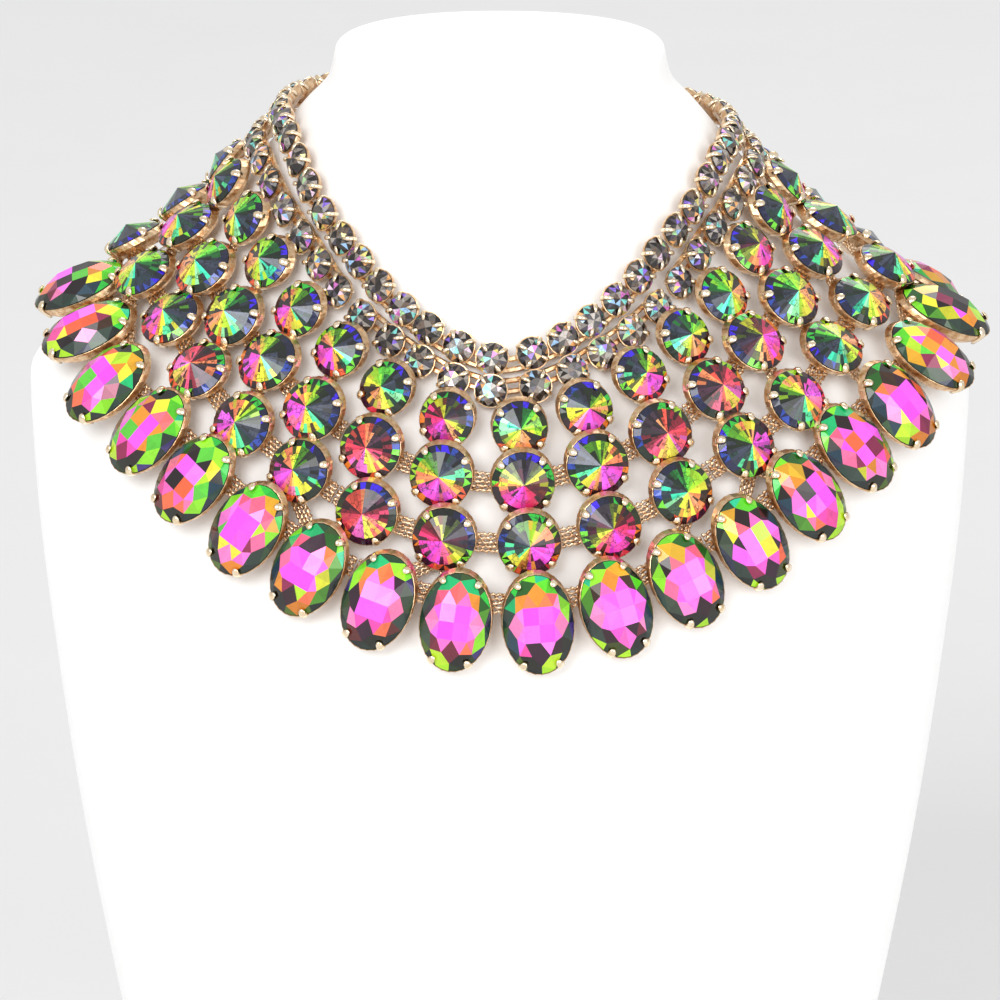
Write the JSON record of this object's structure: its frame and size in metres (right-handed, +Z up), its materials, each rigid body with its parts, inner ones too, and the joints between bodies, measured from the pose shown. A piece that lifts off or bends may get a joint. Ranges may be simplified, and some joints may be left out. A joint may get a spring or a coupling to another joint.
{
  "type": "bib necklace on a neck bust",
  "caption": "Wide bib necklace of foiled round and oval glass stones in gilt cups on woven ribbon, lying on a plain white neck bust with a flat base.",
  "frame": {"origin": "middle of the object's box, on the flat base of the bust", "axes": "+Z up along the neck; the necklace and the bust face -Y; +X is the wearer's left"},
  "size_m": [0.2526, 0.1768, 0.31],
  "materials": {
    "bust_white": "matt white coating",
    "foiled_glass": "faceted, foil-backed, pink to green",
    "grey_foiled_glass": "faceted, foil-backed, smoky grey",
    "gilt_metal": "polished pale gilt"
  },
  "bodies": {
    "root": {"back_chain_left": "gilt_metal", "back_chain_right": "gilt_metal", "clasp": "gilt_metal", "lower_chaton_row_front": "grey_foiled_glass", "lower_chaton_row_left": "grey_foiled_glass", "lower_chaton_row_right": "grey_foiled_glass", "neck_bust": "bust_white", "outer_round_stone_01": "foiled_glass", "outer_round_stone_02": "foiled_glass", "outer_round_stone_03": "foiled_glass", "outer_round_stone_04": "foiled_glass", "outer_round_stone_05": "foiled_glass", "outer_round_stone_06": "foiled_glass", "outer_round_stone_07": "foiled_glass", "outer_round_stone_08": "foiled_glass", "outer_round_stone_09": "foiled_glass", "outer_round_stone_10": "foiled_glass", "outer_round_stone_11": "foiled_glass", "outer_round_stone_12": "foiled_glass", "outer_round_stone_13": "foiled_glass", "outer_round_stone_14": "foiled_glass", "outer_round_stone_15": "foiled_glass", "outer_round_stone_16": "foiled_glass", "outer_round_stone_17": "foiled_glass", "oval_stone_01": "foiled_glass", "oval_stone_02": "foiled_glass", "oval_stone_03": "foiled_glass", "oval_stone_04": "foiled_glass", "oval_stone_05": "foiled_glass", "oval_stone_06": "foiled_glass", "oval_stone_07": "foiled_glass", "oval_stone_08": "foiled_glass", "oval_stone_09": "foiled_glass", "oval_stone_10": "foiled_glass", "oval_stone_11": "foiled_glass", "oval_stone_12": "foiled_glass", "oval_stone_13": "foiled_glass", "oval_stone_14": "foiled_glass", "oval_stone_15": "foiled_glass", "oval_stone_16": "foiled_glass", "oval_stone_17": "foiled_glass", "oval_stone_18": "foiled_glass", "oval_stone_19": "foiled_glass", "ribbon_frame_front": "gilt_metal", "ribbon_frame_left_back": "gilt_metal", "ribbon_frame_left_front": "gilt_metal", "ribbon_frame_right_back": "gilt_metal", "ribbon_frame_right_front": "gilt_metal", "upper_chaton_row_front": "grey_foiled_glass", "upper_chaton_row_left": "grey_foiled_glass", "upper_chaton_row_right": "grey_foiled_glass"}
  },
  "joints": []
}
